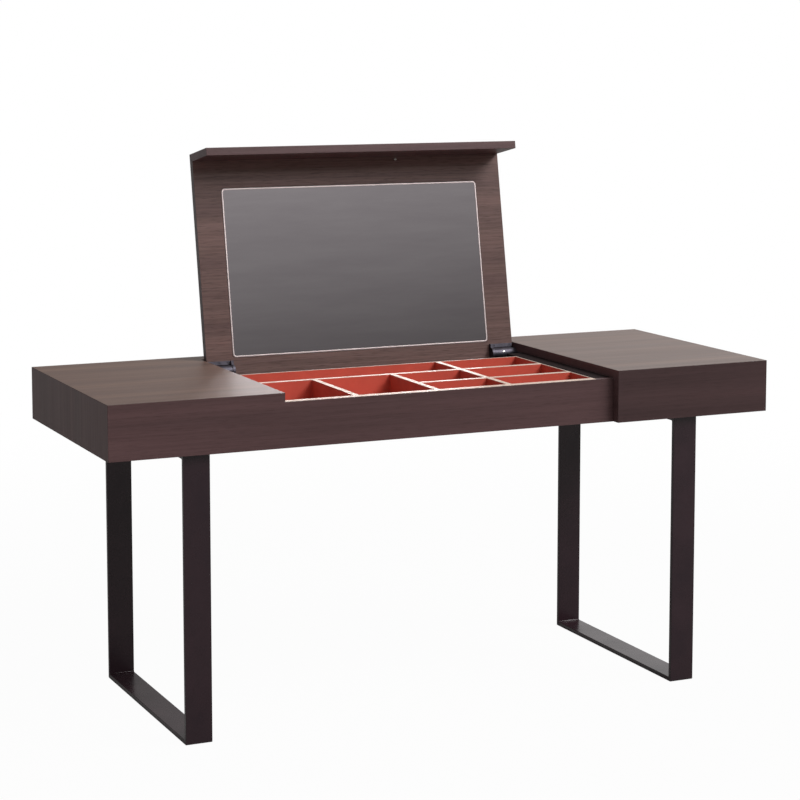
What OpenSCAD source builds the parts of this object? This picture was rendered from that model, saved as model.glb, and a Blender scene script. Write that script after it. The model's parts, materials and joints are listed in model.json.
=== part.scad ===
// Vanity table: a slim board body on two flat-bar leg loops, with a flip-up mirror lid over a tray.
// Modelled in millimetres. X runs along the table, Y from front to back, Z up from the floor.
// Sizes are given from the left end, from the front board's face and from the floor.
// place() then moves all of it, so that the origin is the middle of the footprint, at floor level.

/* [Body] */
// Overall width
table_w = 1600; // [1450:10:1800]
// Depth from the front board's face to the back
table_d = 590; // [580:5:680]
// Height of the top above the floor
table_h = 750; // [680:5:800]
// Height of the box body, from the top down
body_h = 120; // [115:1:160]
// Width of the left box
left_w = 394; // [330:1:440]
// Width of the right box
right_w = 400; // [330:1:440]
// Thickness of the veneered boards
board_t = 18; // [16:1:22]
// Thickness of the bottom boards
base_t = 15; // [12:1:18]

/* [Lid] */
// Thickness of the lid's panel and lip
lid_t = 18; // [16:1:22]
// Gap at each end of the lid
lid_end_gap = 1.5; // [1:0.5:4]
// Gap between the closed lip and the front board
lip_gap = 3; // [2:0.5:6]
// Gap between the closed lid and the tray's edges
rest_gap = 1.5; // [1.5:0.5:4]
// Angle that the lid opens through
open_angle = 100.5; // [90:0.5:105]
// Distance of the hinge axis in front of the back
axis_back = 95.5; // [85:0.5:120]
// Depth of the hinge axis below the closed lid's underside
axis_drop = 6; // [5:0.5:8]
// Length of the lid behind the hinge axis
lid_tail = 36; // [25:1:40]
// Clearance round the lid's swinging tail
swing_gap = 2.2; // [1:0.1:4]

/* [Mirror] */
// Wood border round the mirror
mirror_border = 66; // [50:1:90]
// Thickness of the mirror glass
mirror_t = 4; // [3:0.5:5]
// Radius of the mirror trim's corners
mirror_r = 9; // [5:0.5:15]
// Width of the metal trim round the mirror
trim_w = 4; // [2:0.5:6]
// Height of the trim above the lid's underside
trim_rise = 1; // [0.5:0.1:1.4]

/* [Tray] */
// Depth of the open well from the tray's rear wall to the hinge axis
well_d = 95.5; // [60:0.5:120]
// Depth inside the tray, from the edges to the base
tray_inner_h = 60; // [45:1:70]
// Thickness of the tray's walls
tray_wall_t = 3; // [3:0.5:10]
// Thickness of the tray's base
tray_base_t = 6; // [4:1:9]
// Thickness of the dividers
divider_t = 13; // [8:1:15]
// Clearance between the tray and the boards beside it
tray_gap = 0.5; // [0.3:0.1:1]
// Width of the ledge to the right of the tray
ledge_w = 44; // [25:1:60]
// Thickness of the ledge board
ledge_t = 15; // [12:1:18]
// Thickness of the cream edging
edging_t = 0.5; // [0.5:0.5:2]
// Thickness of the rim over the front board
rim_t = 0.5; // [0.5:0.5:3]
// Set back of the rim from the front board's face
rim_inset = 3; // [0.5:0.5:5]
// Centre of the full-depth divider, from the left box
main_x = 548; // [480:1:580]
// Centre of the first cell divider, from the left box
cell_x1 = 175; // [120:1:220]
// Centre of the second cell divider, from the left box
cell_x2 = 369; // [320:1:420]
// Centre of the long dividers, from the front board's face
long_y = 268; // [230:1:300]
// Centre of the short dividers, from the front board's face
short_y = 126; // [100:1:160]

/* [Hinges] */
// Radius of the hinge barrel
barrel_r = 13; // [11:0.5:14]
// Length of the hinge barrel
barrel_l = 56; // [40:1:70]
// Radius of the disc at the barrel's inner end
disc_r = 14.5; // [12:0.5:15.5]
// Thickness of the disc and of the arm on it
disc_t = 6; // [4:0.5:8]
// Radius of the spindle
spindle_r = 5; // [4:0.5:6]
// Length of the spindle inside the barrel
spindle_l = 30; // [20:1:40]
// Radial clearance of the spindle in the barrel
spindle_gap = 0.1; // [0.02:0.01:0.2]
// Thickness of the flange on the body's side board
flange_t = 3; // [2:0.5:4]
// Thickness of the leaf on the lid
leaf_t = 2.5; // [2:0.5:3]
// Length of the leaf on the lid, away from the axis
leaf_l = 9; // [9:1:30]
// Running gap between the hinge's turning faces
hinge_gap = 0.3; // [0.2:0.1:0.5]
// Clearance round the barrel in the lid's pocket
pocket_gap = 0.8; // [0.5:0.1:1.5]

/* [Catch] */
// Centre of the magnet, from the left box
catch_x = 524; // [60:1:700]
// Radius of the magnet
magnet_r = 3; // [2.5:0.5:5]
// Radius of the strike on the front board's edge
strike_r = 3.5; // [3:0.5:6]
// Thickness of the strike
strike_t = 0.5; // [0.3:0.1:0.5]

/* [Legs] */
// Width of the flat bar
bar_w = 60; // [50:1:80]
// Thickness of the flat bar
bar_t = 10; // [6:1:12]
// Distance of the left loop from the left end
left_loop_x = 168; // [100:1:240]
// Distance of the right loop from the right end
right_loop_x = 182; // [100:1:240]
// Set back of a loop from its box's front, and of the left one from the back
loop_inset = 15; // [10:1:40]
// Distance of the bolts from the loop's front and rear face
bolt_inset = 60; // [40:1:90]
// Spacing of the bolts across the bar
bolt_pitch = 36; // [30:1:38]
// Radius of the bolt's shank
bolt_r = 3; // [2.5:0.5:4]
// Radius of the bolt's head
bolt_head_r = 6; // [5:0.5:7]
// Height of the bolt's head
bolt_head_h = 3.5; // [3:0.5:5]

/* [Screws] */
// Radius of the hinge screws' shank
screw_r = 2; // [1.5:0.1:2.2]
// Radius of the hinge screws' head
screw_head_r = 3.6; // [3:0.1:4]
// Height of the hinge screws' head
screw_head_h = 1.6; // [1.2:0.1:1.8]
// Length of the hinge screws' shank in the wood
screw_l = 11; // [8:0.5:12]
// Radial clearance of fasteners in their holes
hole_gap = 0.05; // [0.02:0.01:0.2]

/* [Hidden] */
$fn = 64;

wood = "#4a3a37";
red = "#a8402f";
cream = "#e8d6c4";
steel = "#221e20";
hinge_grey = "#3a3a42";

// Heights of the body
top_z = table_h;
under_top_z = top_z - board_t;
bottom_z = table_h - body_h;
floor_z = bottom_z + base_t;
lid_under_z = top_z - lid_t;
edge_z = lid_under_z - rest_gap;

// Ends of the middle, and the right box's face in line with the closed lip's
mid_x0 = left_w;
mid_x1 = table_w - right_w;
proud = lid_t + lip_gap;
right_y = -proud;
back_in_y = table_d - board_t;

// Tray
tray_x0 = mid_x0 + tray_gap;
tray_x1 = mid_x1 - ledge_w - tray_gap;
tray_y0 = board_t;
tray_y1 = table_d - axis_back - well_d;
tray_in_x0 = tray_x0 + tray_wall_t;
tray_in_x1 = tray_x1 - tray_wall_t;
tray_in_y0 = tray_y0 + tray_wall_t;
tray_in_y1 = tray_y1 - tray_wall_t;
tray_floor_z = edge_z - tray_inner_h;
tray_under_z = tray_floor_z - tray_base_t;
wall_top_z = edge_z - edging_t;
rim_under_z = edge_z - rim_t;
main_cx = mid_x0 + main_x;
cell_cx1 = mid_x0 + cell_x1;
cell_cx2 = mid_x0 + cell_x2;
batten_w = 20;
batten_count = 3;

// Lid, closed: the tail swings on tail_r about the axis, and the fixed strip stays clear of it
lid_x0 = mid_x0 + lid_end_gap;
lid_x1 = mid_x1 - lid_end_gap;
lid_y0 = right_y;
axis_y = table_d - axis_back;
lid_y1 = axis_y + lid_tail;
axis_z = lid_under_z - axis_drop;
tail_r = norm([lid_tail, axis_drop + lid_t]);
strip_y0 = axis_y + tail_r + swing_gap;

// Mirror opening in the lid's underside
mirror_x0 = lid_x0 + mirror_border;
mirror_x1 = lid_x1 - mirror_border;
mirror_y0 = lid_y0 + lid_t + mirror_border;
mirror_y1 = lid_y1 - mirror_border;

// Hinge, measured from the body's side board
barrel_x = flange_t + barrel_l;
disc_x = barrel_x + hinge_gap;
arm_end_x = disc_x + disc_t;
pocket_r = disc_r + pocket_gap;
flange_y = [axis_y - 44, axis_y - 2];
flange_z = [axis_z - 24, axis_z + 4];
flange_screws = [[axis_y - 36, axis_z - 4], [axis_y - 36, axis_z - 17]];
leaf_y1 = axis_y - sqrt(pocket_r * pocket_r - axis_drop * axis_drop) - 0.5;
leaf_y0 = leaf_y1 - leaf_l;
leaf_x0 = flange_t + hinge_gap;
leaf_screw_y = (leaf_y0 + leaf_y1) / 2;
leaf_screw_x = [12, 32, 52];
ledge_y1 = flange_y[0] - 2;

// Catch
catch_cx = mid_x0 + catch_x;
catch_y = strike_r + 1;

// Leg loops
loop_d = table_d - 2 * loop_inset;
left_loop = [left_loop_x, loop_inset];
right_loop = [table_w - right_loop_x - bar_w, right_y + loop_inset];
bolt_grip = 10;

// Middle of the footprint, which is the origin
lid_back_y = axis_y - cos(open_angle) * (axis_y - lid_y0) + sin(open_angle) * (lid_t + axis_drop);
centre_y = (right_y + max(table_d, lid_back_y)) / 2;

module place() {
    translate([-table_w / 2, -centre_y, 0]) children();
}

// Turns the closed lid open about the hinge axis
module opened() {
    translate([0, axis_y, axis_z])
        rotate([-open_angle, 0, 0])
            translate([0, -axis_y, -axis_z]) children();
}

// A box between two corners
module block(a, b) {
    translate(a) cube(b - a);
}

// An outline in Y and Z, drawn out along X
module along_x(x0, x1, points) {
    translate([x0, 0, 0])
        rotate([90, 0, 90])
            linear_extrude(x1 - x0) polygon(points);
}

// An outline in X and Z, drawn out along Y
module along_y(y0, y1, points) {
    translate([0, y1, 0])
        rotate([90, 0, 0])
            linear_extrude(y1 - y0) polygon(points);
}

// An outline in X and Y, drawn out along Z
module along_z(z0, z1, points) {
    translate([0, 0, z0]) linear_extrude(z1 - z0) polygon(points);
}

// A round bar or hole along X
module rod_x(x0, x1, y, z, r) {
    translate([x0, y, z]) rotate([0, 90, 0]) cylinder(r = r, h = x1 - x0);
}

// Mirrors a left hand piece to the other end of the middle
module both_ends() {
    children();
    at_right_end() children();
}

module at_right_end() {
    translate([mid_x0 + mid_x1, 0, 0]) mirror([1, 0, 0]) children();
}

// Board under a top, with mitres along the top edge and at the ends that it turns a corner
module front_of_box(x0, x1, y, mitre0, mitre1) {
    intersection() {
        along_x(x0, x1, [[y, bottom_z], [y, top_z], [y + board_t, under_top_z], [y + board_t, bottom_z]]);
        along_z(bottom_z, top_z, [
            [x0, y], [x1, y],
            [x1 - (mitre1 ? board_t : 0), y + board_t], [x0 + (mitre0 ? board_t : 0), y + board_t]
        ]);
    }
}

// Side board at x, its outer face to the side that out gives, mitred to the top and the front
module side_of_box(x, out, y0, y1) {
    inner_x = x - out * board_t;
    intersection() {
        along_y(y0, y1, [[x, bottom_z], [x, top_z], [inner_x, under_top_z], [inner_x, bottom_z]]);
        along_z(bottom_z, top_z, [[x, y0], [x, y1], [inner_x, y1], [inner_x, y0 + board_t]]);
    }
}

// Top board with a mitred front edge, and mitred ends where a side board meets it
module top_of_box(x0, x1, y0, mitre0, mitre1) {
    intersection() {
        along_x(x0, x1, [[y0, top_z], [table_d, top_z], [table_d, under_top_z], [y0 + board_t, under_top_z]]);
        along_y(y0, table_d, [
            [x0, top_z], [x1, top_z],
            [x1 - (mitre1 ? board_t : 0), under_top_z], [x0 + (mitre0 ? board_t : 0), under_top_z]
        ]);
    }
}

module front_board() {
    color(wood) place() {
        union() {
            front_of_box(0, mid_x0, 0, true, false);
            block([mid_x0, 0, bottom_z], [mid_x1, board_t, rim_under_z]);
        }
    }
}

module back_board() {
    color(wood) place()
        block([board_t, back_in_y, bottom_z], [table_w - board_t, table_d, under_top_z]);
}

module left_end_board() {
    color(wood) place() side_of_box(0, -1, 0, table_d);
}

module left_top() {
    color(wood) place() top_of_box(0, mid_x0, 0, true, false);
}

module left_partition() {
    color(wood) place() difference() {
        block([mid_x0 - board_t, board_t, bottom_z], [mid_x0, back_in_y, under_top_z]);
        flange_screw_holes();
    }
}

module left_bottom() {
    color(wood) place() difference() {
        block([board_t, board_t, bottom_z], [mid_x0 - board_t, back_in_y, floor_z]);
        bolt_holes(left_loop);
    }
}

module middle_bottom() {
    color(wood) place() block([mid_x0, board_t, bottom_z], [mid_x1, back_in_y, floor_z]);
}

module back_strip() {
    color(wood) place() block([mid_x0, strip_y0, under_top_z], [mid_x1, table_d, top_z]);
}

// The mitre on the left ends at the back board, which the top covers
module right_top() {
    color(wood) place() union() {
        top_of_box(mid_x1, table_w, right_y, true, true);
        block([mid_x1, back_in_y, under_top_z], [mid_x1 + board_t, table_d, top_z]);
    }
}

module right_front() {
    color(wood) place() front_of_box(mid_x1, table_w, right_y, true, true);
}

module right_end_board() {
    color(wood) place() side_of_box(table_w, 1, right_y, table_d);
}

module right_partition() {
    color(wood) place() difference() {
        side_of_box(mid_x1, -1, right_y, back_in_y);
        at_right_end() flange_screw_holes();
    }
}

module right_bottom() {
    color(wood) place() difference() {
        block(
            [mid_x1 + board_t, right_y + board_t, bottom_z],
            [table_w - board_t, back_in_y, floor_z]
        );
        bolt_holes(right_loop);
    }
}

module ledge() {
    color(wood) place()
        block([mid_x1 - ledge_w, board_t, edge_z - ledge_t], [mid_x1, ledge_y1, edge_z]);
}

// A divider between two corners in plan, from the tray's base to the underside of its edging
module divider(a, b) {
    block([a[0], a[1], tray_floor_z], [b[0], b[1], wall_top_z]);
}

module edging(a, b) {
    block([a[0], a[1], wall_top_z], [b[0], b[1], edge_z]);
}

// Plan of each divider, as its two corners
half_t = divider_t / 2;
main_plan = [[main_cx - half_t, tray_in_y0], [main_cx + half_t, tray_in_y1]];
long_left_plan = [[tray_in_x0, long_y - half_t], [main_cx - half_t, long_y + half_t]];
long_right_plan = [[main_cx + half_t, long_y - half_t], [tray_in_x1, long_y + half_t]];
short_middle_plan = [[cell_cx2 + half_t, short_y - half_t], [main_cx - half_t, short_y + half_t]];
short_right_plan = [[main_cx + half_t, short_y - half_t], [tray_in_x1, short_y + half_t]];
cell_left_plan = [[cell_cx1 - half_t, tray_in_y0], [cell_cx1 + half_t, long_y - half_t]];
cell_right_plan = [[cell_cx2 - half_t, tray_in_y0], [cell_cx2 + half_t, long_y - half_t]];
divider_plans = [
    main_plan, long_left_plan, long_right_plan, short_middle_plan,
    short_right_plan, cell_left_plan, cell_right_plan
];

module tray_base() {
    color(red) place() block([tray_x0, tray_y0, tray_under_z], [tray_x1, tray_y1, tray_floor_z]);
}

module tray_front_wall() {
    color(red) place() block([tray_x0, tray_y0, tray_floor_z], [tray_x1, tray_in_y0, rim_under_z]);
}

module tray_rear_wall() {
    color(red) place() block([tray_x0, tray_in_y1, tray_floor_z], [tray_x1, tray_y1, wall_top_z]);
}

module tray_left_wall() {
    color(red) place() divider([tray_x0, tray_in_y0], [tray_in_x0, tray_in_y1]);
}

module tray_right_wall() {
    color(red) place() divider([tray_in_x1, tray_in_y0], [tray_x1, tray_in_y1]);
}

module main_divider() {
    color(red) place() divider(main_plan[0], main_plan[1]);
}

module long_divider_left() {
    color(red) place() divider(long_left_plan[0], long_left_plan[1]);
}

module long_divider_right() {
    color(red) place() divider(long_right_plan[0], long_right_plan[1]);
}

module short_divider_middle() {
    color(red) place() divider(short_middle_plan[0], short_middle_plan[1]);
}

module short_divider_right() {
    color(red) place() divider(short_right_plan[0], short_right_plan[1]);
}

module cell_divider_left() {
    color(red) place() divider(cell_left_plan[0], cell_left_plan[1]);
}

module cell_divider_right() {
    color(red) place() divider(cell_right_plan[0], cell_right_plan[1]);
}

// Cream rim over the front board and the tray's front wall, with a seat for the strike
module tray_front_rim() {
    color(cream) place() difference() {
        block([tray_x0, rim_inset, rim_under_z], [tray_x1, tray_in_y0, edge_z]);
        translate([catch_cx, catch_y, rim_under_z - 1])
            cylinder(r = strike_r + hole_gap, h = rim_t + 2);
    }
}

module tray_edging() {
    color(cream) place() {
        edging([tray_x0, tray_in_y1], [tray_x1, tray_y1]);
        edging([tray_x0, tray_in_y0], [tray_in_x0, tray_in_y1]);
        edging([tray_in_x1, tray_in_y0], [tray_x1, tray_in_y1]);
    }
}

module divider_edging() {
    color(cream) place()
        for (plan = divider_plans) edging(plan[0], plan[1]);
}

module tray_battens() {
    color(wood) place()
        for (i = [0 : batten_count - 1]) {
            x = tray_x0 + (tray_x1 - tray_x0 - batten_w) * i / (batten_count - 1);
            block([x, tray_y0, floor_z], [x + batten_w, tray_y1, tray_under_z]);
        }
}

// Pilot holes in the left partition for the hinge flange's screws
module flange_screw_holes() {
    for (p = flange_screws)
        rod_x(mid_x0 - screw_l - 1, mid_x0 + 1, p[0], p[1], screw_r + hole_gap);
}

// Flange on the side board and a fixed barrel, bored for the spindle
module hinge_body() {
    x = mid_x0;
    difference() {
        union() {
            block([x, flange_y[0], flange_z[0]], [x + flange_t, flange_y[1], flange_z[1]]);
            rod_x(x, x + barrel_x, axis_y, axis_z, barrel_r);
        }
        rod_x(x + barrel_x - spindle_l - 1, x + barrel_x + 1, axis_y, axis_z, spindle_r + spindle_gap);
        for (p = flange_screws) {
            rod_x(x - 1, x + flange_t + 1, p[0], p[1], screw_r + hole_gap);
            rod_x(x + flange_t - screw_head_h, x + flange_t + 1, p[0], p[1], screw_head_r + hole_gap);
        }
    }
}

module hinge_body_left() {
    color(hinge_grey) place() hinge_body();
}

module hinge_body_right() {
    color(hinge_grey) place() at_right_end() hinge_body();
}

// A screw along Z with a cross recess, its head's face at 0 and its shank going up
module screw(through) {
    slot_w = 0.8;
    slot_h = 0.8;
    difference() {
        union() {
            cylinder(r = screw_head_r, h = screw_head_h);
            cylinder(r = screw_r, h = through + screw_l);
        }
        for (turn = [0, 90])
            rotate(turn) translate([-screw_head_r * 0.6, -slot_w / 2, -1])
                cube([screw_head_r * 1.2, slot_w, slot_h + 1]);
    }
}

module hinge_body_screws() {
    color(hinge_grey) place()
        both_ends()
            for (p = flange_screws)
                translate([mid_x0 + flange_t, p[0], p[1]]) rotate([0, -90, 0]) screw(flange_t);
}

module catch_strike() {
    color("silver") place()
        translate([catch_cx, catch_y, rim_under_z]) cylinder(r = strike_r, h = strike_t);
}

// Bolt places on a loop's top bar
function bolt_places(loop) = [
    for (dx = [-bolt_pitch / 2, bolt_pitch / 2], dy = [bolt_inset, loop_d - bolt_inset])
        [loop[0] + bar_w / 2 + dx, loop[1] + dy]
];

module bolt_holes(loop) {
    for (p = bolt_places(loop))
        translate([p[0], p[1], bottom_z - bar_t - 1])
            cylinder(r = bolt_r + hole_gap, h = bar_t + bolt_grip + 1.5);
}

module bolts(loop) {
    for (p = bolt_places(loop))
        translate([p[0], p[1], bottom_z - bar_t]) {
            translate([0, 0, -bolt_head_h]) cylinder(r = bolt_head_r, h = bolt_head_h);
            cylinder(r = bolt_r, h = bar_t + bolt_grip);
        }
}

// The four mitred bars of a loop, each drawn as its outline from the side
module bar(loop, points) {
    along_x(loop[0], loop[0] + bar_w, [for (p = points) [loop[1] + p[0], p[1]]]);
}

module front_leg(loop) {
    bar(loop, [[0, 0], [0, bottom_z], [bar_t, bottom_z - bar_t], [bar_t, bar_t]]);
}

module rear_leg(loop) {
    bar(loop, [[loop_d, 0], [loop_d, bottom_z], [loop_d - bar_t, bottom_z - bar_t], [loop_d - bar_t, bar_t]]);
}

module foot_bar(loop) {
    bar(loop, [[0, 0], [loop_d, 0], [loop_d - bar_t, bar_t], [bar_t, bar_t]]);
}

module top_bar(loop) {
    difference() {
        bar(loop, [
            [0, bottom_z], [loop_d, bottom_z],
            [loop_d - bar_t, bottom_z - bar_t], [bar_t, bottom_z - bar_t]
        ]);
        bolt_holes(loop);
    }
}

module left_front_leg() {
    color(steel) place() front_leg(left_loop);
}

module left_foot_bar() {
    color(steel) place() foot_bar(left_loop);
}

module left_rear_leg() {
    color(steel) place() rear_leg(left_loop);
}

module left_top_bar() {
    color(steel) place() top_bar(left_loop);
}

module left_loop_bolts() {
    color(steel) place() bolts(left_loop);
}

module right_front_leg() {
    color(steel) place() front_leg(right_loop);
}

module right_foot_bar() {
    color(steel) place() foot_bar(right_loop);
}

module right_rear_leg() {
    color(steel) place() rear_leg(right_loop);
}

module right_top_bar() {
    color(steel) place() top_bar(right_loop);
}

module right_loop_bolts() {
    color(steel) place() bolts(right_loop);
}

// A rectangle with round corners between two corners in plan
module round_plate(a, b, r, z0, z1) {
    translate([0, 0, z0]) linear_extrude(z1 - z0) union() {
        translate([a[0] + r, a[1]]) square([b[0] - a[0] - 2 * r, b[1] - a[1]]);
        translate([a[0], a[1] + r]) square([b[0] - a[0], b[1] - a[1] - 2 * r]);
        for (x = [a[0] + r, b[0] - r], y = [a[1] + r, b[1] - r])
            translate([x, y]) circle(r);
    }
}

mirror_a = [mirror_x0, mirror_y0];
mirror_b = [mirror_x1, mirror_y1];
trim_in = [trim_w, trim_w];

// The panel, with a mitred front edge, the mirror's rebate and a pocket round each hinge
module lid_panel() {
    color(wood) place() opened() difference() {
        along_x(lid_x0, lid_x1, [
            [lid_y0, top_z], [lid_y1, top_z],
            [lid_y1, lid_under_z], [lid_y0 + lid_t, lid_under_z]
        ]);
        round_plate(mirror_a, mirror_b, mirror_r, lid_under_z - 1, lid_under_z + mirror_t);
        both_ends() {
            rod_x(mid_x0 - 1, mid_x0 + arm_end_x + pocket_gap, axis_y, axis_z, pocket_r);
            for (x = leaf_screw_x)
                translate([mid_x0 + x, leaf_screw_y, lid_under_z - 1])
                    cylinder(r = screw_r + hole_gap, h = screw_l + 1.5);
        }
    }
}

module lid_lip() {
    color(wood) place() opened() along_x(lid_x0, lid_x1, [
        [lid_y0, bottom_z], [lid_y0, top_z],
        [lid_y0 + lid_t, lid_under_z], [lid_y0 + lid_t, bottom_z]
    ]);
}

module mirror_glass() {
    color("#8f9294") place() opened()
        round_plate(
            mirror_a + trim_in, mirror_b - trim_in, mirror_r - trim_w,
            lid_under_z, lid_under_z + mirror_t
        );
}

module mirror_trim() {
    color("#d0c8c6") place() opened() difference() {
        round_plate(mirror_a, mirror_b, mirror_r, lid_under_z - trim_rise, lid_under_z + mirror_t);
        round_plate(
            mirror_a + trim_in, mirror_b - trim_in, mirror_r - trim_w,
            lid_under_z - trim_rise - 1, lid_under_z + mirror_t + 1
        );
    }
}

// Disc and spindle on the axis, and a leaf screwed to the lid's underside
module hinge_arm() {
    x = mid_x0;
    difference() {
        union() {
            rod_x(x + disc_x, x + arm_end_x, axis_y, axis_z, disc_r);
            rod_x(x + barrel_x - spindle_l, x + disc_x + 1, axis_y, axis_z, spindle_r);
            block([x + disc_x, leaf_y0, lid_under_z - disc_t - leaf_t], [x + arm_end_x, axis_y, lid_under_z]);
            block([x + leaf_x0, leaf_y0, lid_under_z - leaf_t], [x + arm_end_x, leaf_y1, lid_under_z]);
        }
        for (sx = leaf_screw_x)
            translate([x + sx, leaf_screw_y, lid_under_z - leaf_t]) {
                translate([0, 0, -1]) cylinder(r = screw_r + hole_gap, h = leaf_t + 2);
                translate([0, 0, -1]) cylinder(r = screw_head_r + hole_gap, h = screw_head_h + 1);
            }
    }
}

module hinge_arm_left() {
    color(hinge_grey) place() opened() hinge_arm();
}

module hinge_arm_right() {
    color(hinge_grey) place() opened() at_right_end() hinge_arm();
}

module hinge_arm_screws() {
    color(hinge_grey) place() opened()
        both_ends()
            for (sx = leaf_screw_x)
                translate([mid_x0 + sx, leaf_screw_y, lid_under_z - leaf_t]) screw(leaf_t);
}

module catch_magnet() {
    magnet_h = rest_gap - hinge_gap;
    color("silver") place() opened()
        translate([catch_cx, catch_y, lid_under_z - magnet_h]) cylinder(r = magnet_r, h = magnet_h);
}

front_board();
back_board();
left_end_board();
left_top();
left_partition();
left_bottom();
middle_bottom();
back_strip();
right_top();
right_front();
right_end_board();
right_partition();
right_bottom();
ledge();
tray_base();
tray_front_wall();
tray_rear_wall();
tray_left_wall();
tray_right_wall();
main_divider();
long_divider_left();
long_divider_right();
short_divider_middle();
short_divider_right();
cell_divider_left();
cell_divider_right();
tray_front_rim();
tray_edging();
divider_edging();
tray_battens();
hinge_body_left();
hinge_body_right();
hinge_body_screws();
catch_strike();
left_front_leg();
left_foot_bar();
left_rear_leg();
left_top_bar();
left_loop_bolts();
right_front_leg();
right_foot_bar();
right_rear_leg();
right_top_bar();
right_loop_bolts();
lid_panel();
lid_lip();
mirror_glass();
mirror_trim();
hinge_arm_left();
hinge_arm_right();
hinge_arm_screws();
catch_magnet();
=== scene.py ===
# %% [markdown]
# # Vanity table
# A slim dark wood body stands on two flat steel loops. A lid in the middle of the top carries a
# mirror and opens over a red tray with cells. The exact solids come from the CAD model, so this
# lesson is about what they leave out: finishes, soft edges, small hardware and light. Nothing
# else is read from disk.

# %% Load the frame
import json
import math
import bmesh
import bpy
from mathutils import Matrix, Vector


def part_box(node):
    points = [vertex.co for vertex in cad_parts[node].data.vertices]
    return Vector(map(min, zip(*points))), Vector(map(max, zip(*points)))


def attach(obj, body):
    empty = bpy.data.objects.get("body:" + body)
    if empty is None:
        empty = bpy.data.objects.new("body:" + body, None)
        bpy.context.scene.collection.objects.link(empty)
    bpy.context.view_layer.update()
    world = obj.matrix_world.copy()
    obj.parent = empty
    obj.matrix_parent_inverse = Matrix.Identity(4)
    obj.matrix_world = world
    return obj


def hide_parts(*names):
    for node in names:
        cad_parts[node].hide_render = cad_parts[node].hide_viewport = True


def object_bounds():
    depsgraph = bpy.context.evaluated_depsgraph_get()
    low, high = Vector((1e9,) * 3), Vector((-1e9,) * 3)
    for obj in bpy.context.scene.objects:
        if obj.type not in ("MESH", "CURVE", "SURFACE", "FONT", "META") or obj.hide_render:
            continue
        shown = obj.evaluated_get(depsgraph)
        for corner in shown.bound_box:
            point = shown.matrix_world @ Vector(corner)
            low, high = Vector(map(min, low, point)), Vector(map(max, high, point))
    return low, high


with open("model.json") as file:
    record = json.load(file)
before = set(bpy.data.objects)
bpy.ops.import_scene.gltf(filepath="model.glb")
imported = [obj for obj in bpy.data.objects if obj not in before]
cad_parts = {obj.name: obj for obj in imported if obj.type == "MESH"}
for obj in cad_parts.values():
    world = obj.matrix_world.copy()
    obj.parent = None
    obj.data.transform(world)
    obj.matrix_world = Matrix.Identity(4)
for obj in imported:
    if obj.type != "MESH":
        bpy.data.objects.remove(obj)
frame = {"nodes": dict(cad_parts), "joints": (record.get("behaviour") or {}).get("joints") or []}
cad_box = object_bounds()
nodes = frame["nodes"]

# %% [markdown]
# ## Camera
# The photograph was taken from the sitter's left, a little above the top, with a long lens whose
# front was shifted to keep the legs upright. The full shift would push the table out of every
# other view, so the camera looks down by a few degrees instead and keeps a small shift.

# %% Place the camera
CAMERA_PLACE = (-2.138, -4.697, 1.515)  # metres
CAMERA_TURN = 24.45  # degrees to the right of straight ahead
CAMERA_DOWN = 6.31  # degrees below the horizon
FRAME_WIDTH = 36  # mm
FOCAL_LENGTH = 100.7  # mm
LENS_SHIFT = -0.15  # in frame widths

camera_data = bpy.data.cameras.new("camera")
camera_data.sensor_width = FRAME_WIDTH
camera_data.lens = FOCAL_LENGTH
camera_data.shift_y = LENS_SHIFT
camera = bpy.data.objects.new("camera", camera_data)
bpy.context.scene.collection.objects.link(camera)
camera.location = CAMERA_PLACE
camera.rotation_euler = (math.radians(90 - CAMERA_DOWN), 0, math.radians(-CAMERA_TURN))
bpy.context.scene.camera = camera
print("camera at", CAMERA_PLACE)

# %% [markdown]
# ## Helpers for finishes
# Colours are written as sRGB hex, the way a paint chart gives them. Blender computes with linear
# light, so one function turns them. A second one adds a node with its settings and its links.

# %% Define the colour and node helpers
# A Mix node keeps a set of sockets for each kind of data. These are the ones for colour.
MIX_SHARE, MIX_BASE, MIX_OVER, MIX_RESULT = 0, 6, 7, 2


def linear(hex_text):
    """Linear RGBA from an sRGB hex colour."""
    channels = []
    for i in (1, 3, 5):
        c = int(hex_text[i:i + 2], 16) / 255
        channels.append(c / 12.92 if c <= 0.04045 else ((c + 0.055) / 1.055) ** 2.4)
    return (*channels, 1.0)


def add_node(tree, kind, inputs=None, stops=(), **settings):
    """Add a node with its settings.

    Each input takes either a value or the socket that feeds it. A colour ramp takes its stops
    as (position, hex colour).
    """
    made = tree.nodes.new(kind)
    for name, value in settings.items():
        setattr(made, name, value)
    for name, value in (inputs or {}).items():
        if isinstance(value, bpy.types.NodeSocket):
            tree.links.new(value, made.inputs[name])
        else:
            made.inputs[name].default_value = value
    if stops:
        elements = made.color_ramp.elements
        while len(elements) < len(stops):
            elements.new(0.5)
        for element, (position, colour) in zip(elements, stops):
            element.position = position
            element.color = linear(colour)
    return made


def new_material(name):
    """An empty node material and its output node."""
    material = bpy.data.materials.new(name)
    material.use_nodes = True
    tree = material.node_tree
    tree.nodes.clear()
    return material, tree, add_node(tree, "ShaderNodeOutputMaterial")


def stretched(tree, sizes_mm):
    """Object coordinates in pattern cells of the given sizes along X, Y and Z."""
    place = add_node(tree, "ShaderNodeTexCoord")
    cells = [1000 / size for size in sizes_mm]
    return add_node(tree, "ShaderNodeMapping", {
        "Vector": place.outputs["Object"], "Scale": cells}).outputs["Vector"]


print("a mid grey is linear", [round(channel, 3) for channel in linear("#808080")[:3]])

# %% [markdown]
# ## How every coat ends
# Lacquer, paint and plating differ in their patterns but end alike. The pattern leaves some
# places a little duller than others, the edges are slightly rounded, and a fine relief catches
# the light. The edges are rounded in the shading alone, so the solids stay as they are.

# %% Define the end of a coat
PATTERN_LOW, PATTERN_HIGH = 0.3, 0.7  # nearly all of a noise pattern lies between these


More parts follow.
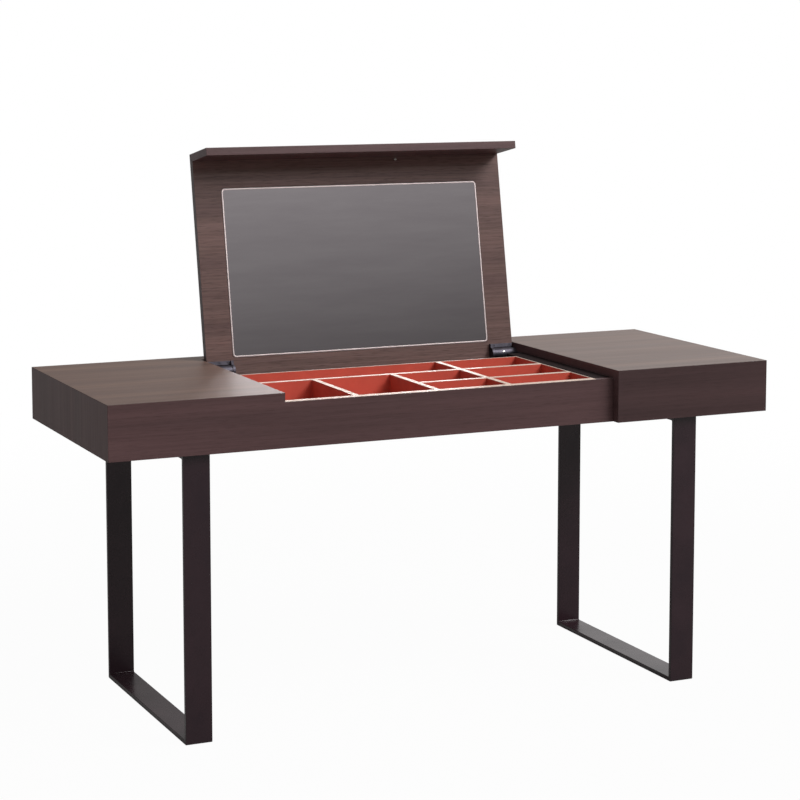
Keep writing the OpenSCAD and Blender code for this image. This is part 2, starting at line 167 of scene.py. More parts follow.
def end_coat(tree, output, colour, pattern, shine, height, relief, arris, **base):
    """Give a material its shader.

    The pattern takes the roughness from the first to the second value of shine. The height
    raises the relief, given as (strength, depth in metres). The arris is (radius in metres,
    samples), and base holds the shader's other inputs.
    """
    roughness = add_node(tree, "ShaderNodeMapRange", {
        "Value": pattern, "From Min": PATTERN_LOW, "From Max": PATTERN_HIGH,
        "To Min": shine[0], "To Max": shine[1]})
    rounded = add_node(tree, "ShaderNodeBevel", {"Radius": arris[0]}, samples=arris[1])
    raised = add_node(tree, "ShaderNodeBump", {
        "Height": height, "Strength": relief[0], "Distance": relief[1],
        "Normal": rounded.outputs["Normal"]})
    shader = add_node(tree, "ShaderNodeBsdfPrincipled", {
        "Base Color": colour, "Roughness": roughness.outputs["Result"],
        "Normal": raised.outputs["Normal"], **base})
    tree.links.new(shader.outputs["BSDF"], output.inputs["Surface"])


print("patterns are read from", PATTERN_LOW, "to", PATTERN_HIGH)

# %% [markdown]
# ## Wood: espresso-stained oak veneer, satin lacquered
# The body is board with a straight-grain veneer, stained almost black-brown and sprayed with satin
# lacquer. The stain sinks into the pores, so the grain is drawn as thin darker lines in a brown
# ground, and the lacquer gives a soft, wide reflection of the room on the top. Noise that is
# stretched along the grain gives both, and being three-dimensional it needs no unwrapping. The
# real pores are 0.2 mm wide, too fine to show here, so they are drawn about 1.6 mm wide.

# %% Define the veneer
BAND_CELL = (1300, 46)  # mm along and across the grain
STREAK_CELL = (380, 5.2)
PORE_CELL = (34, 1.6)
STAIN_STOPS = (0.30, 0.52, 0.72)  # where the three browns lie in the noise
STREAK_TINTS = [(0.34, "#dcd6d3"), (0.50, "#f2efed"), (0.66, "#ffffff")]
PORE_TINTS = [(0.33, "#cfc9c7"), (0.46, "#ffffff")]
PORE_RELIEF = (0.25, 0.0002)  # strength, metres
SANDED_ARRIS = (0.0009, 6)  # metres, samples
# Painted shade: faces that turn this far along X take the darker end colour.
PAINTED_SHADE_FACING = (0.7, 0.9)  # how far a face turns to X before it counts as an end edge


def make_veneer(name, along, stain, figure=0.5, shine=(0.45, 0.39), ior=1.36, painted_end_shade=None):
    """Veneer whose grain runs along an axis, in a stain of three browns, dark to light.

    The figure is how clearly the grain shows, and the shine is the roughness in the dull and in
    the bright streaks. A board given a painted end shade has its end edges, which face along X,
    darkened in that colour, as painted shade for ends that the lamps leave dark.
    """
    def grain(cell):
        return [cell[0] if axis == along else cell[1] for axis in "XYZ"]

    material, tree, output = new_material(name)
    bands = add_node(tree, "ShaderNodeTexNoise", {
        "Vector": stretched(tree, grain(BAND_CELL)), "Scale": 1.0, "Detail": 3.0,
        "Roughness": 0.55})
    streaks = add_node(tree, "ShaderNodeTexNoise", {
        "Vector": stretched(tree, grain(STREAK_CELL)), "Scale": 1.0, "Detail": 2.0,
        "Roughness": 0.6, "Distortion": 0.12})
    pores = add_node(tree, "ShaderNodeTexNoise", {
        "Vector": stretched(tree, grain(PORE_CELL)), "Scale": 1.0, "Detail": 2.0,
        "Roughness": 0.5})

    ground = add_node(tree, "ShaderNodeValToRGB", {"Fac": bands.outputs["Fac"]},
                      stops=list(zip(STAIN_STOPS, stain)))
    streak_tint = add_node(tree, "ShaderNodeValToRGB", {"Fac": streaks.outputs["Fac"]},
                           stops=STREAK_TINTS)
    pore_tint = add_node(tree, "ShaderNodeValToRGB", {"Fac": pores.outputs["Fac"]},
                         stops=PORE_TINTS)
    streaked = add_node(tree, "ShaderNodeMix", {
        MIX_SHARE: figure, MIX_BASE: ground.outputs["Color"],
        MIX_OVER: streak_tint.outputs["Color"]}, data_type="RGBA", blend_type="MULTIPLY")
    pored = add_node(tree, "ShaderNodeMix", {
        MIX_SHARE: figure, MIX_BASE: streaked.outputs[MIX_RESULT],
        MIX_OVER: pore_tint.outputs["Color"]}, data_type="RGBA", blend_type="MULTIPLY")
    colour = pored.outputs[MIX_RESULT]

    # Painted shade: the ends that face along X are darkened in the colour itself.
    if painted_end_shade:
        facing = add_node(tree, "ShaderNodeSeparateXYZ", {
            "Vector": add_node(tree, "ShaderNodeTexCoord").outputs["Normal"]})
        sideways = add_node(tree, "ShaderNodeMath", {0: facing.outputs["X"]}, operation="ABSOLUTE")
        painted_shade_share = add_node(tree, "ShaderNodeMapRange", {
            "Value": sideways.outputs["Value"], "From Min": PAINTED_SHADE_FACING[0],
            "From Max": PAINTED_SHADE_FACING[1]})
        colour = add_node(tree, "ShaderNodeMix", {
            MIX_SHARE: painted_shade_share.outputs["Result"], MIX_BASE: colour,
            MIX_OVER: linear(painted_end_shade)}, data_type="RGBA").outputs[MIX_RESULT]
    end_coat(tree, output, colour, streaks.outputs["Fac"], shine, pores.outputs["Fac"],
             PORE_RELIEF, SANDED_ARRIS, IOR=ior)
    return material


print("pores are drawn", PORE_CELL[1], "mm wide")

# %% [markdown]
# ## The sheets of veneer
# No two sheets of veneer take stain alike. The tops and the lid are lighter and warmer than the
# fronts. The right front is darker, as painted shade for light that falls off towards the right,
# and the lid's ends are darker, as painted shade for ends that the lamps leave dark. The ledge
# beside the tray is nearly black, as painted shade for the shade it lies in, and it is left without
# lacquer, so it hardly shines.

# %% Make the veneers
BODY_STAIN = ("#4a3536", "#523b3c", "#5b4344")
TOP_STAIN = ("#58443d", "#624c43", "#6c554a")
LID_STAIN = ("#57413f", "#604a46", "#6b524e")
# Painted shade for the lid's ends, which the lamps leave dark.
LID_END_PAINTED_SHADE = "#3c2a2b"
# Painted shade: the right front is darker to stand for light that falls off towards the right.
RIGHT_FRONT_PAINTED_SHADE = ("#382627", "#3f2c2d", "#463132")
# Painted shade: the ledge is nearly black for the shade it lies in beside the right box.
LEDGE_PAINTED_SHADE = ("#191112", "#1f1617", "#251b1c")

veneer_along_x = make_veneer("stained_oak_veneer_long_grain", "X", BODY_STAIN)
veneer_along_y = make_veneer("stained_oak_veneer_side_grain", "Y", BODY_STAIN)
veneer_upright = make_veneer(
    "stained_oak_veneer_upright_grain", "Z", BODY_STAIN, shine=(0.52, 0.46))
veneer_top = make_veneer(
    "stained_oak_veneer_top", "X", TOP_STAIN, figure=0.22, shine=(0.48, 0.42), ior=1.55)
# The lid's veneer carries a painted shade on its ends.
lid_veneer_with_painted_end_shade = make_veneer(
    "stained_oak_veneer_lid_painted_end_shade", "X", LID_STAIN, figure=1.0, painted_end_shade=LID_END_PAINTED_SHADE)
# Painted shade: a nearly black, matt copy of the veneer stands for the ledge's shade.
veneer_ledge_painted_shade = make_veneer(
    "unlacquered_veneer_painted_shade", "Y", LEDGE_PAINTED_SHADE, shine=(0.85, 0.80), ior=1.2)
# Painted shade: a darker copy of the body veneer for the right front.
veneer_right_front_painted_shade = make_veneer("stained_oak_veneer_painted_shade_right_front", "X", RIGHT_FRONT_PAINTED_SHADE)
veneers = [veneer_along_x, veneer_along_y, veneer_upright, veneer_top, lid_veneer_with_painted_end_shade, veneer_ledge_painted_shade,
           veneer_right_front_painted_shade]
print("made", [veneer.name for veneer in veneers])

# %% [markdown]
# ## Tray: red painted board with cream edge banding
# The tray is thin board, sprayed in a matt terracotta red. Spray paint on board has a faint orange
# peel, a few millimetres across, and slightly uneven depth of colour. The edges carry a cream
# plastic banding, which is smoother and a little shinier than the paint.

# %% Make the paint and the edge banding
PEEL_STRENGTH = 0.3
THIN_ARRIS = (0.0006, 4)  # metres, samples


def make_painted(name, stops, mottle_mm, peel_mm, peel_depth, shine, ior=1.5):
    """A plain coloured coat: soft mottling in the colour and a fine orange peel."""
    material, tree, output = new_material(name)
    mottle = add_node(tree, "ShaderNodeTexNoise", {
        "Vector": stretched(tree, (mottle_mm,) * 3), "Scale": 1.0, "Detail": 4.0,
        "Roughness": 0.6})
    peel = add_node(tree, "ShaderNodeTexNoise", {
        "Vector": stretched(tree, (peel_mm,) * 3), "Scale": 1.0, "Detail": 2.0,
        "Roughness": 0.5})
    colour = add_node(tree, "ShaderNodeValToRGB", {"Fac": mottle.outputs["Fac"]}, stops=stops)
    end_coat(tree, output, colour.outputs["Color"], mottle.outputs["Fac"], shine,
             peel.outputs["Fac"], (PEEL_STRENGTH, peel_depth), THIN_ARRIS, IOR=ior)
    return material


red_paint = make_painted("terracotta_spray_paint", [
    (0.30, "#b04535"), (0.50, "#b64939"), (0.70, "#bc4e3e")], 60, 2.4, 0.0002, (0.55, 0.45))
edge_banding = make_painted("cream_edge_banding", [
    (0.30, "#c8b2a4"), (0.50, "#cbb5a7"), (0.70, "#cfbaac")], 25, 1.5, 0.0001, (0.50, 0.42))
print("made", red_paint.name, "and", edge_banding.name)

# %% [markdown]
# ## Legs and hinges: powder-coated steel, gunmetal and bright plating
# The loops are mild steel with a black-brown powder coat. Baked powder has a fine grain of its own
# and a satin shine, so the foot bar picks up the pale floor at a low angle. The hinges are die-cast
# zinc with a gunmetal plating, turned smooth. The small catch and the set screws are nickel plated,
# and the mirror's trim is aluminium, anodised satin.

# %% Make the metals
MARK_RELIEF = (0.2, 0.00005)  # strength, metres

powder_coat = make_painted("black_brown_powder_coat", [
    (0.30, "#21131a"), (0.50, "#26171d"), (0.70, "#2b1b21")], 90, 1.8, 0.00003, (0.30, 0.24), 1.4)


def make_metal(name, stops, mark_mm, shine):
    """Bare or plated metal with fine tool marks, whose cells have the given sizes."""
    material, tree, output = new_material(name)
    marks = add_node(tree, "ShaderNodeTexNoise", {
        "Vector": stretched(tree, mark_mm), "Scale": 1.0, "Detail": 3.0, "Roughness": 0.6})
    colour = add_node(tree, "ShaderNodeValToRGB", {"Fac": marks.outputs["Fac"]}, stops=stops)
    end_coat(tree, output, colour.outputs["Color"], marks.outputs["Fac"], shine,
             marks.outputs["Fac"], MARK_RELIEF, THIN_ARRIS, Metallic=1.0)
    return material


gunmetal = make_metal("gunmetal_plated_zinc", [
    (0.30, "#4a474f"), (0.50, "#535058"), (0.70, "#5c5962")], (14, 14, 14), (0.50, 0.56))
nickel = make_metal("nickel_plated_steel", [
    (0.30, "#bdb9b2"), (0.50, "#cbc8c2"), (0.70, "#d8d5d0")], (2, 2, 2), (0.22, 0.30))
trim_aluminium = make_metal("satin_anodised_aluminium", [
    (0.30, "#beb1b0"), (0.50, "#c7bab9"), (0.70, "#d0c4c3")], (40, 1.2, 1.2), (0.40, 0.48))
print("made", powder_coat.name, gunmetal.name, nickel.name, trim_aluminium.name)

# %% [markdown]
# ## Mirror: silvered float glass
# A mirror is a sheet of glass with silver on its back. Almost all that is seen is the silver, so
# the silver is the base and the glass is a clear coat over it. Glass is never quite clean, and
# faint wiping marks, here in the roughness and barely in the colour, keep the reflection from
# looking computed.

# %% Make the mirror
WIPE_CELL = (220, 30, 30)  # mm
WIPE_RANGE = (0.35, 0.7)
HAZE = (0.02, 0.05)  # roughness of clean and of wiped glass
GLASS_SHARE = 0.5

mirror_material, tree, output = new_material("silvered_float_glass")
wiping = add_node(tree, "ShaderNodeTexNoise", {
    "Vector": stretched(tree, WIPE_CELL), "Scale": 1.0, "Detail": 4.0, "Roughness": 0.6})
haze = add_node(tree, "ShaderNodeMapRange", {
    "Value": wiping.outputs["Fac"], "From Min": WIPE_RANGE[0], "From Max": WIPE_RANGE[1],
    "To Min": HAZE[0], "To Max": HAZE[1]})
silver = add_node(tree, "ShaderNodeValToRGB", {"Fac": wiping.outputs["Fac"]},
                  stops=[(0.30, "#dcd7da"), (0.70, "#e5e1e3")])
shader = add_node(tree, "ShaderNodeBsdfPrincipled", {
    "Base Color": silver.outputs["Color"], "Roughness": haze.outputs["Result"],
    "Metallic": 1.0, "Coat Weight": GLASS_SHARE, "Coat Roughness": HAZE[0]})
tree.links.new(shader.outputs["BSDF"], output.inputs["Surface"])
print("made", mirror_material.name)

# %% [markdown]
# ## Give the solids their finishes
# The grain runs along the table on the fronts, the tops and the lid, and from front to back on the
# partitions and the ledge. On the end boards it stands upright, because the top's veneer runs on
# over the mitre and down the end.

# %% Assign the materials
FINISHES = {
    veneer_along_x: [
        "front_board", "back_board", "left_bottom", "middle_bottom", "right_bottom", "lid_lip"],
    veneer_right_front_painted_shade: ["right_front"],
    veneer_top: ["left_top", "right_top", "back_strip"],
    lid_veneer_with_painted_end_shade: ["lid_panel"],
    veneer_along_y: ["left_partition", "right_partition", "tray_battens"],
    veneer_upright: ["left_end_board", "right_end_board"],
    veneer_ledge_painted_shade: ["ledge"],
    red_paint: [
        "tray_base", "tray_front_wall", "tray_rear_wall", "tray_left_wall", "tray_right_wall",
        "main_divider", "long_divider_left", "long_divider_right", "short_divider_middle",
        "short_divider_right", "cell_divider_left", "cell_divider_right"],
    edge_banding: ["tray_front_rim", "tray_edging", "divider_edging"],
    powder_coat: [
        f"{side}_{part}" for side in ("left", "right")
        for part in ("front_leg", "foot_bar", "rear_leg", "top_bar", "loop_bolts")],
    gunmetal: [
        "hinge_body_left", "hinge_body_right", "hinge_body_screws",
        "hinge_arm_left", "hinge_arm_right", "hinge_arm_screws"],
    nickel: ["catch_strike", "catch_magnet"],
    mirror_material: ["mirror_glass"],
    trim_aluminium: ["mirror_trim"],
}
for material, names in FINISHES.items():
    for name in names:
        mesh = nodes[name].data
        mesh.materials.clear()
        mesh.materials.append(material)
print("finished", sum(len(names) for names in FINISHES.values()), "of", len(nodes), "solids")

# %% [markdown]
# ## Leg loops
# On the real table each loop is four flat bars, welded at the mitres, ground flush and coated, so
# no joint shows and every edge is slightly soft. The four solids meet in sharp mitres. One ring
# mesh replaces them: a rectangle with rounded outer corners and a small weld fillet inside, swept
# over the bar's width, and its long edges are bevelled.

# %% Define the outline and the way into the scene
CORNER_STEPS = 6


def rounded_rectangle(low, high, radius):
    """Corner arcs of a flat rectangle, as a closed list of points."""
    points = []
    for sign_a, sign_b, start in ((1, 1, 0), (-1, 1, 90), (-1, -1, 180), (1, -1, 270)):
        centre_a = (high[0] if sign_a > 0 else low[0]) - sign_a * radius
        centre_b = (high[1] if sign_b > 0 else low[1]) - sign_b * radius
        for step in range(CORNER_STEPS + 1):
            angle = math.radians(start + 90 * step / CORNER_STEPS)
            points.append((centre_a + radius * math.cos(angle),
                           centre_b + radius * math.sin(angle)))
    return points


def link_mesh(name, mesh_data):
    """Put a bmesh in the scene as a named object."""
    mesh = bpy.data.meshes.new(name)
    mesh_data.to_mesh(mesh)
    mesh_data.free()
    piece = bpy.data.objects.new(name, mesh)
    bpy.context.scene.collection.objects.link(piece)
    return piece


print("an outline has", len(rounded_rectangle((0, 0), (1, 1), 0.1)), "points")

# %% Build the leg loops
OUTER_CORNER = 0.003  # metres, ground mitre
WELD_FILLET = 0.003  # metres, weld bead in the inner corner
BAR_ARRIS = 0.0009  # metres, softened edge of the flat bar
ARRIS_STEPS = 2
SQUARE_EDGE = math.radians(60)  # edges that turn by more than this are softened
LOOP_SHARP = math.radians(35)  # edges that turn by more than this are shaded sharp
FLAT_AREA = 0.003  # square metres; larger faces are the bar's flat sides
SAME_PLACE = 1e-6  # metres


def build_loop(side):
    """A welded ring that takes the place of one side's four bars."""
    parts = [f"{side}_{part}" for part in ("front_leg", "foot_bar", "rear_leg", "top_bar")]
    corners = [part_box(part) for part in parts]
    low = Vector([min(box[0][k] for box in corners) for k in range(3)])
    high = Vector([max(box[1][k] for box in corners) for k in range(3)])
    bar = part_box(parts[0])[1].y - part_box(parts[0])[0].y

    outer = rounded_rectangle((low.y, low.z), (high.y, high.z), OUTER_CORNER)
    inner = rounded_rectangle((low.y + bar, low.z + bar), (high.y - bar, high.z - bar),
                              WELD_FILLET)
    made = bmesh.new()
    rings = [[made.verts.new((x, y, z)) for y, z in outline]
             for x in (low.x, high.x) for outline in (outer, inner)]
    count = len(outer)
    for i in range(count):
        j = (i + 1) % count
        made.faces.new((rings[0][i], rings[1][i], rings[1][j], rings[0][j]))
        made.faces.new((rings[2][i], rings[2][j], rings[3][j], rings[3][i]))
        made.faces.new((rings[0][i], rings[0][j], rings[2][j], rings[2][i]))
        made.faces.new((rings[1][i], rings[3][i], rings[3][j], rings[1][j]))
    bmesh.ops.recalc_face_normals(made, faces=made.faces)
    rims = [edge for edge in made.edges
            if abs(edge.verts[0].co.x - edge.verts[1].co.x) < SAME_PLACE
            and edge.calc_face_angle(0) > SQUARE_EDGE]
    bmesh.ops.bevel(made, geom=rims, offset=BAR_ARRIS, segments=ARRIS_STEPS, profile=0.5,
                    affect="EDGES")

    piece = link_mesh(f"{side}_leg_loop", made)
    piece.data.set_sharp_from_angle(angle=LOOP_SHARP)
    for polygon in piece.data.polygons:
        polygon.use_smooth = polygon.area < FLAT_AREA
    piece.data.materials.append(powder_coat)
    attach(piece, "table")
    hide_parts(*parts)
    return piece


loops = [build_loop(side) for side in ("left", "right")]
print("leg loops:", [len(loop.data.polygons) for loop in loops], "faces")

# %% [markdown]
# ## Trim round the mirror
# The glass lies in a shallow pocket, held by a slim satin aluminium trim. The solid is a plain
# ring. On the real one the face ends in a chamfer that dips into the wood and leaves a fine dark
# gap there, which draws the thin line round the bright trim. A ring swept from that profile
# replaces the solid. It is drawn on the closed lid and then turned open with it.

# %% Measure the glass on the closed lid
hinge = frame["joints"][0]
hinge_point = Vector(hinge["pos_m"])
lid_turn = Matrix.Rotation(math.radians(hinge["range_deg"][1]), 3, "X")


def close_lid(point):
    """Where a point of the open lid lies once the lid is closed."""
    return lid_turn @ (point - hinge_point) + hinge_point


def open_lid(point):
    """Where a point of the closed lid lies once the lid is open."""
    return lid_turn.transposed() @ (point - hinge_point) + hinge_point


closed_glass = [close_lid(vertex.co) for vertex in nodes["mirror_glass"].data.vertices]
glass_low = [min(point[k] for point in closed_glass) for k in range(3)]
glass_high = [max(point[k] for point in closed_glass) for k in range(3)]
print("glass:", [round((b - a) * 1000, 1) for a, b in zip(glass_low, glass_high)], "mm")

# %% Build the mirror's trim
TRIM_WIDTH = 0.0035  # metres
TRIM_FACE = 0.0027  # flat part of the width
TRIM_HIGH = 0.001  # face above the wood
TRIM_LOW = -0.0004  # foot of the chamfer, in the gap to the wood
TRIM_ARRIS = 0.0002
TRIM_SHARP = math.radians(20)
GLASS_CORNER = 0.005  # radius of the glass's corners

pocket_floor = glass_low[2] - glass_high[2]
TRIM_PROFILE = [  # (distance out from the glass, height above the wood)
    (0, pocket_floor), (0, TRIM_HIGH - TRIM_ARRIS), (TRIM_ARRIS, TRIM_HIGH),
    (TRIM_FACE, TRIM_HIGH), (TRIM_WIDTH, TRIM_LOW), (TRIM_WIDTH, pocket_floor)]
made = bmesh.new()
rings = []
for outward, height in TRIM_PROFILE:
    outline = rounded_rectangle((glass_low[0] - outward, glass_low[1] - outward),
                                (glass_high[0] + outward, glass_high[1] + outward),
                                GLASS_CORNER + outward)
    rings.append([made.verts.new(open_lid(Vector((x, y, glass_low[2] - height))))
                  for x, y in outline])
for ring, following in zip(rings, rings[1:] + rings[:1]):
    for i in range(len(ring)):
        j = (i + 1) % len(ring)
        made.faces.new((ring[i], ring[j], following[j], following[i]))
bmesh.ops.recalc_face_normals(made, faces=made.faces)
trim = link_mesh("mirror_trim_ring", made)
trim.data.set_sharp_from_angle(angle=TRIM_SHARP)
trim.data.materials.append(trim_aluminium)
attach(trim, "lid")
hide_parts("mirror_trim")
print("trim:", len(trim.data.polygons), "faces")

# %% [markdown]
# ## Set screws of the hinges
# The friction of each hinge is set by a small bright screw in the barrel, seen as a dot of light
# under the barrel's highlight. It is a short nickel cylinder with a chamfer and a hexagon socket,
# sunk into the barrel with its face just proud of the curved wall. At this size the socket reads
# as round, so it is drawn round.

# %% Build the set screws
SCREW_RADIUS = 0.0026  # metres
SCREW_LENGTH = 0.004
SCREW_CHAMFER = 0.0004
SOCKET_RADIUS = 0.0014
SOCKET_DEPTH = 0.0012
SOCKET_CHAMFER = 0.0002
SCREW_PROUD = 0.0005
SCREW_SIDES = 24
SCREW_LIFT = math.radians(25)  # up from straight ahead
SCREW_FROM_WALL = 0.035  # from the side board to the screw
BARREL_RADIUS = 0.013  # as in the solid


def lathe_ring(mesh_data, radius, height):
    """A circle of corners round local Z."""
    return [mesh_data.verts.new((radius * math.cos(2 * math.pi * i / SCREW_SIDES),
                                 radius * math.sin(2 * math.pi * i / SCREW_SIDES), height))
            for i in range(SCREW_SIDES)]


def build_set_screw(side):
    """A socket screw, its face at the top of local Z, turned onto the barrel's wall."""
    made = bmesh.new()
    rings = [
        lathe_ring(made, SCREW_RADIUS, -SCREW_LENGTH),
        lathe_ring(made, SCREW_RADIUS, -SCREW_CHAMFER),
        lathe_ring(made, SCREW_RADIUS - SCREW_CHAMFER, 0),
        lathe_ring(made, SOCKET_RADIUS + SOCKET_CHAMFER, 0),
        lathe_ring(made, SOCKET_RADIUS, -SOCKET_CHAMFER),
        lathe_ring(made, SOCKET_RADIUS, -SOCKET_DEPTH),
    ]
    for lower, upper in zip(rings, rings[1:]):
        for i in range(SCREW_SIDES):
            j = (i + 1) % SCREW_SIDES
            made.faces.new((lower[i], lower[j], upper[j], upper[i]))
    made.faces.new(list(reversed(rings[0])))
    made.faces.new(rings[-1])
    bmesh.ops.recalc_face_normals(made, faces=made.faces)

    piece = link_mesh(f"hinge_set_screw_{side}", made)
    low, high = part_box(f"hinge_body_{side}")
    x = low.x + SCREW_FROM_WALL if side == "left" else high.x - SCREW_FROM_WALL
    outward = Vector((0, -math.cos(SCREW_LIFT), math.sin(SCREW_LIFT)))
    on_axis = Vector((x, hinge_point.y, hinge_point.z))
    piece.rotation_mode = "QUATERNION"
    piece.rotation_quaternion = outward.to_track_quat("Z", "Y")
    piece.location = on_axis + outward * (BARREL_RADIUS + SCREW_PROUD)
    piece.data.materials.append(nickel)
    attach(piece, "table")
    return piece


set_screws = [build_set_screw(side) for side in ("left", "right")]
print("set screws at x =", [round(screw.location.x, 3) for screw in set_screws])

# %% [markdown]
# ## Floor
# The photograph has a plain white ground. The floor is matt and takes the table's shadow. For the
# camera it is mixed with plain white, mostly near the table and fully further out, so the ground
# runs into the white background without an edge. Glossy and transmission rays get such a mix too,
# so that lacquer and metal show a pale ground, but for them the white starts further out: near the
# legs they see the matt floor as it is lit.

# %% Lay the floor
FLOOR_RADIUS = 30.0  # metres
FLOOR_SIDES = 96
FLOOR_DROP = 0.0002  # below the foot bars, so that no two faces coincide

floor_mesh = bmesh.new()
bmesh.ops.create_circle(floor_mesh, cap_ends=True, radius=FLOOR_RADIUS, segments=FLOOR_SIDES)
floor = link_mesh("floor", floor_mesh)
floor.location.z = cad_box[0].z - FLOOR_DROP
print("floor radius", FLOOR_RADIUS, "m")

# %% Make the floor's material
FLOOR_GREY = "#9a9998"
# The share of plain white near the table, and from what distance to what distance it grows to
# all, in metres.
CAMERA_WHITE = (0.97, 1.2, 4.0)
GLOSS_WHITE = (0.12, 2.5, 14.0)


def add_ray_kinds(tree):
    """Sockets that are 1 for camera rays, and 1 for glossy and transmission rays."""
    light_path = add_node(tree, "ShaderNodeLightPath")
    mirrored = add_node(tree, "ShaderNodeMath", {
        0: light_path.outputs["Is Glossy Ray"], 1: light_path.outputs["Is Transmission Ray"]},
        operation="MAXIMUM")
    return light_path.outputs["Is Camera Ray"], mirrored.outputs["Value"]


def add_white_for(tree, rays, distance, near, start, end):
    """How much plain white one kind of ray sees, growing with the distance from the table."""
    share = add_node(tree, "ShaderNodeMapRange", {
        "Value": distance, "From Min": start, "From Max": end, "To Min": near, "To Max": 1.0},
        interpolation_type="SMOOTHSTEP")
    return add_node(tree, "ShaderNodeMath", {0: rays, 1: share.outputs["Result"]},
                    operation="MULTIPLY").outputs["Value"]


floor_material, tree, output = new_material("matt_white_floor")
place = add_node(tree, "ShaderNodeTexCoord")
from_table = add_node(tree, "ShaderNodeVectorMath", {0: place.outputs["Object"]},
                      operation="LENGTH").outputs["Value"]
by_camera, by_gloss = add_ray_kinds(tree)
seen_white = add_node(tree, "ShaderNodeMath", {
    0: add_white_for(tree, by_camera, from_table, *CAMERA_WHITE),
    1: add_white_for(tree, by_gloss, from_table, *GLOSS_WHITE)}, operation="MAXIMUM")
matt = add_node(tree, "ShaderNodeBsdfDiffuse", {"Color": linear(FLOOR_GREY)})
plain_white = add_node(tree, "ShaderNodeEmission", {"Color": linear("#ffffff")})
mixed = add_node(tree, "ShaderNodeMixShader", {
    0: seen_white.outputs["Value"], 1: matt.outputs["BSDF"], 2: plain_white.outputs["Emission"]})
tree.links.new(mixed.outputs["Shader"], output.inputs["Surface"])
floor.data.materials.append(floor_material)
print("made", floor_material.name)

# %% [markdown]
# ## Room
# What the lamps leave is a dim room, which the mirror shows as a grey that gets lighter upwards,
# with a brighter wall at the right and a pale wall behind the table. The world gives the room as
# gradients of direction. The camera itself sees plain white, and glossy and transmission rays see
# that white in the wall behind the table, which gives the tops their glare.

# %% Set the world
ROOM_TONES = [(0.155, "#302d2d"), (0.27, "#8c898a"), (0.42, "#9a9896"), (1.0, "#b0aeaa")]
ROOM_STRENGTH = 1.1
BACK_WALL_TONE = "#cbc1b8"
RIGHT_WALL_TONE = "#f2ebe4"
# Each wall is seen where two soft steps meet, each given as (axis of the direction, where the
# step starts and ends, level before it and after it).
BACK_WALL = [("Y", 0.0, 0.6, 0.0, 1.0), ("X", 0.24, 0.52, 0.04, 1.0)]
RIGHT_WALL = [("X", 0.60, 0.85, 0.0, 1.0), ("Z", 0.35, 0.55, 1.0, 0.0)]


def add_wall(tree, heading, steps):
    """How much of a wall is seen in a direction."""
    levels = [add_node(tree, "ShaderNodeMapRange", {
        "Value": heading.outputs[axis], "From Min": start, "From Max": end,
        "To Min": before, "To Max": after}, interpolation_type="SMOOTHSTEP").outputs["Result"]
        for axis, start, end, before, after in steps]
    return add_node(tree, "ShaderNodeMath", {0: levels[0], 1: levels[1]},
                    operation="MULTIPLY").outputs["Value"]


def paint_wall(tree, room_colour, wall, colour):
    """The room with a wall in it, where the wall is lighter."""
    painted = add_node(tree, "ShaderNodeMix", {
        MIX_SHARE: wall, MIX_BASE: linear("#000000"), MIX_OVER: linear(colour)},
        data_type="RGBA").outputs[MIX_RESULT]
    return add_node(tree, "ShaderNodeMix", {
        MIX_SHARE: 1.0, MIX_BASE: room_colour, MIX_OVER: painted},
        data_type="RGBA", blend_type="LIGHTEN").outputs[MIX_RESULT]


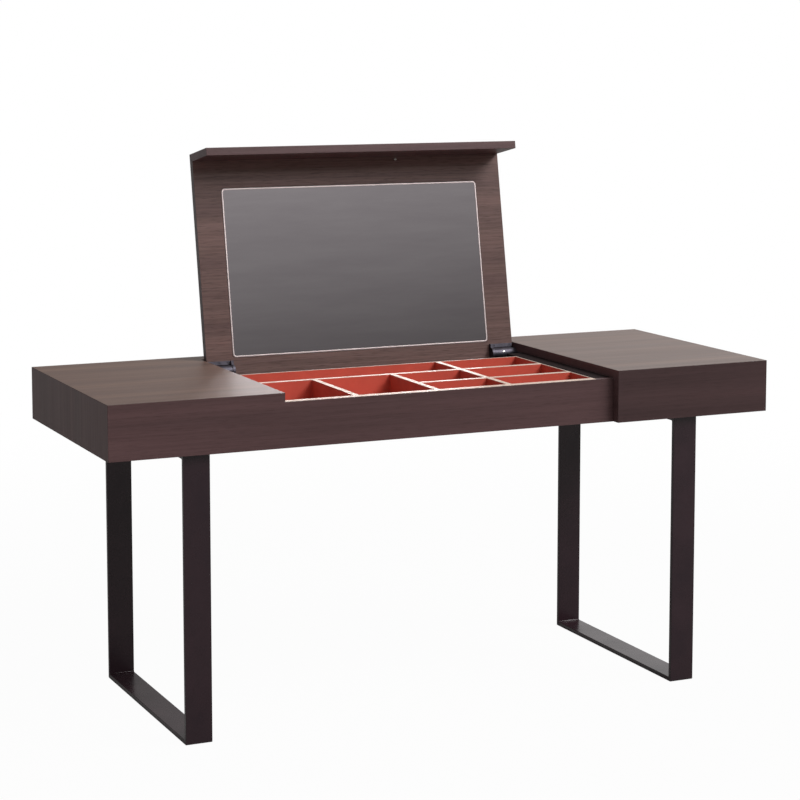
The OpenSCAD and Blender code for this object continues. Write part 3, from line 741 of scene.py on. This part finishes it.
world = bpy.data.worlds.new("studio")
bpy.context.scene.world = world
world.use_nodes = True
tree = world.node_tree
tree.nodes.clear()
output = add_node(tree, "ShaderNodeOutputWorld")
direction = add_node(tree, "ShaderNodeTexCoord").outputs["Generated"]
heading = add_node(tree, "ShaderNodeSeparateXYZ", {"Vector": direction})
back_wall = add_wall(tree, heading, BACK_WALL)
right_wall = add_wall(tree, heading, RIGHT_WALL)
upward = add_node(tree, "ShaderNodeValToRGB", {"Fac": heading.outputs["Z"]}, stops=ROOM_TONES)
room_colour = paint_wall(tree, upward.outputs["Color"], back_wall, BACK_WALL_TONE)
room_colour = paint_wall(tree, room_colour, right_wall, RIGHT_WALL_TONE)
room = add_node(tree, "ShaderNodeBackground", {"Color": room_colour, "Strength": ROOM_STRENGTH})
white = add_node(tree, "ShaderNodeBackground", {"Color": linear("#ffffff"), "Strength": 1.0})
by_camera, by_gloss = add_ray_kinds(tree)
white_wall = add_node(tree, "ShaderNodeMath", {0: by_gloss, 1: back_wall}, operation="MULTIPLY")
shows_white = add_node(tree, "ShaderNodeMath", {0: by_camera, 1: white_wall.outputs["Value"]},
                       operation="MAXIMUM")
choice = add_node(tree, "ShaderNodeMixShader", {
    0: shows_white.outputs["Value"], 1: room.outputs["Background"],
    2: white.outputs["Background"]})
tree.links.new(choice.outputs["Shader"], output.inputs["Surface"])
print("world:", world.name, "with", len(tree.nodes), "nodes")

# %% [markdown]
# ## Lamps
# The shadows give the studio away. The open lid's lip throws a shadow down and to the left over
# the upper rail, and the lid shades the back of the left top, so one large soft lamp hangs in
# front, to the right and about 43 degrees up. It is far away, as the light hardly changes along
# the table. A second, weak one stands lower and nearer the middle, where the left top shows it by
# way of the mirror, as a glare beside the lid. A third, weaker still, lifts the left legs and the
# walls of the tray that face left.

# %% Hang the lamps
LAMP_AIM = Vector((0, 0, 0.85))  # metres


def hang_softbox(name, place, size, watts):
    """A soft rectangular lamp that looks at the middle of the table."""
    lamp_data = bpy.data.lights.new(name, "AREA")
    lamp_data.shape = "RECTANGLE"
    lamp_data.size, lamp_data.size_y = size
    lamp_data.energy = watts
    lamp = bpy.data.objects.new(name, lamp_data)
    bpy.context.scene.collection.objects.link(lamp)
    lamp.location = place
    lamp.rotation_euler = (LAMP_AIM - lamp.location).to_track_quat("-Z", "Y").to_euler()
    return lamp


lamps = [  # place and size in metres, power in watts
    hang_softbox("key_softbox", (6.55, -5.51, 8.82), (5.6, 4.5), 1290),
    hang_softbox("glare_softbox", (2.66, -6.08, 4.83), (4.8, 1.9), 130),
    hang_softbox("fill_softbox", (-2.6, -2.6, 1.6), (1.8, 1.8), 8),
]
print("lamps:", [(lamp.name, lamp.data.energy) for lamp in lamps])

# %% [markdown]
# ## Finish
# The view transform is Standard, so a written colour comes out as it was written.

# %% Finish
bpy.context.scene.view_settings.view_transform = "Standard"
